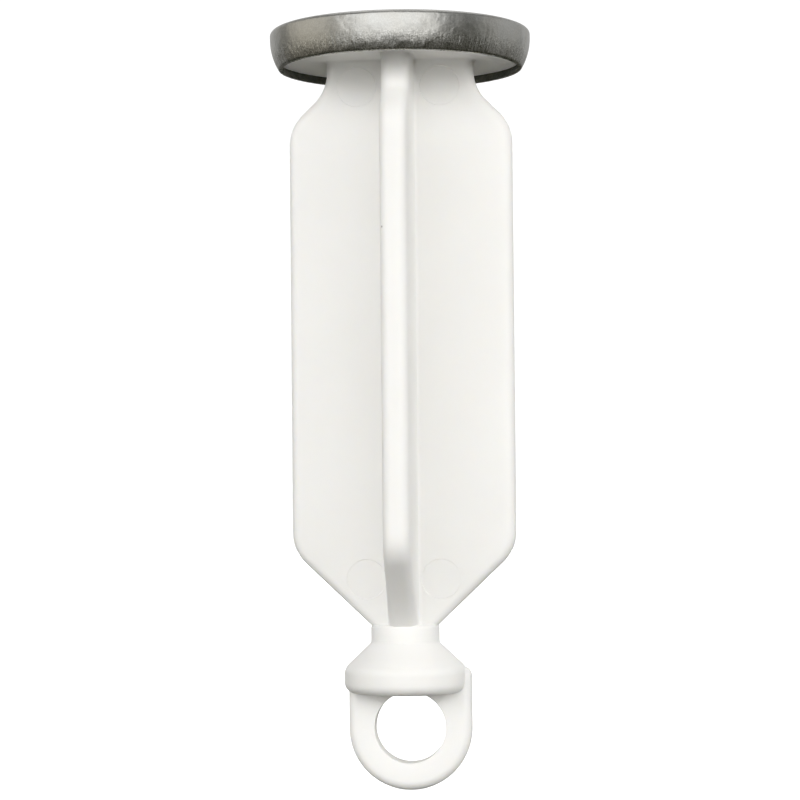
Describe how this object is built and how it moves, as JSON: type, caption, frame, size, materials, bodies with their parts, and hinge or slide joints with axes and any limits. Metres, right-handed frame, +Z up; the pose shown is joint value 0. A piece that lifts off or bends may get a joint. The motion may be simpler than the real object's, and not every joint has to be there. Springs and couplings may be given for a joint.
{
  "type": "basin pop-up drain stopper",
  "caption": "Pop-up stopper for a basin drain: a crimped steel cap on a white plastic plunger with guide vanes, a collar and an eye for the pivot rod.",
  "frame": {"origin": "on the stopper's axis, in the plane of the cap's rim", "axes": "+Z up the axis towards the cap, Y along the hole of the eye, X across the eye"},
  "size_m": [0.035, 0.035, 0.1025],
  "materials": {
    "cap_steel": "satin stainless steel with fine scratches",
    "plunger_plastic": "white moulded plastic, faint satin"
  },
  "bodies": {
    "root": {"cap": "cap_steel", "plunger": "plunger_plastic"}
  },
  "joints": []
}
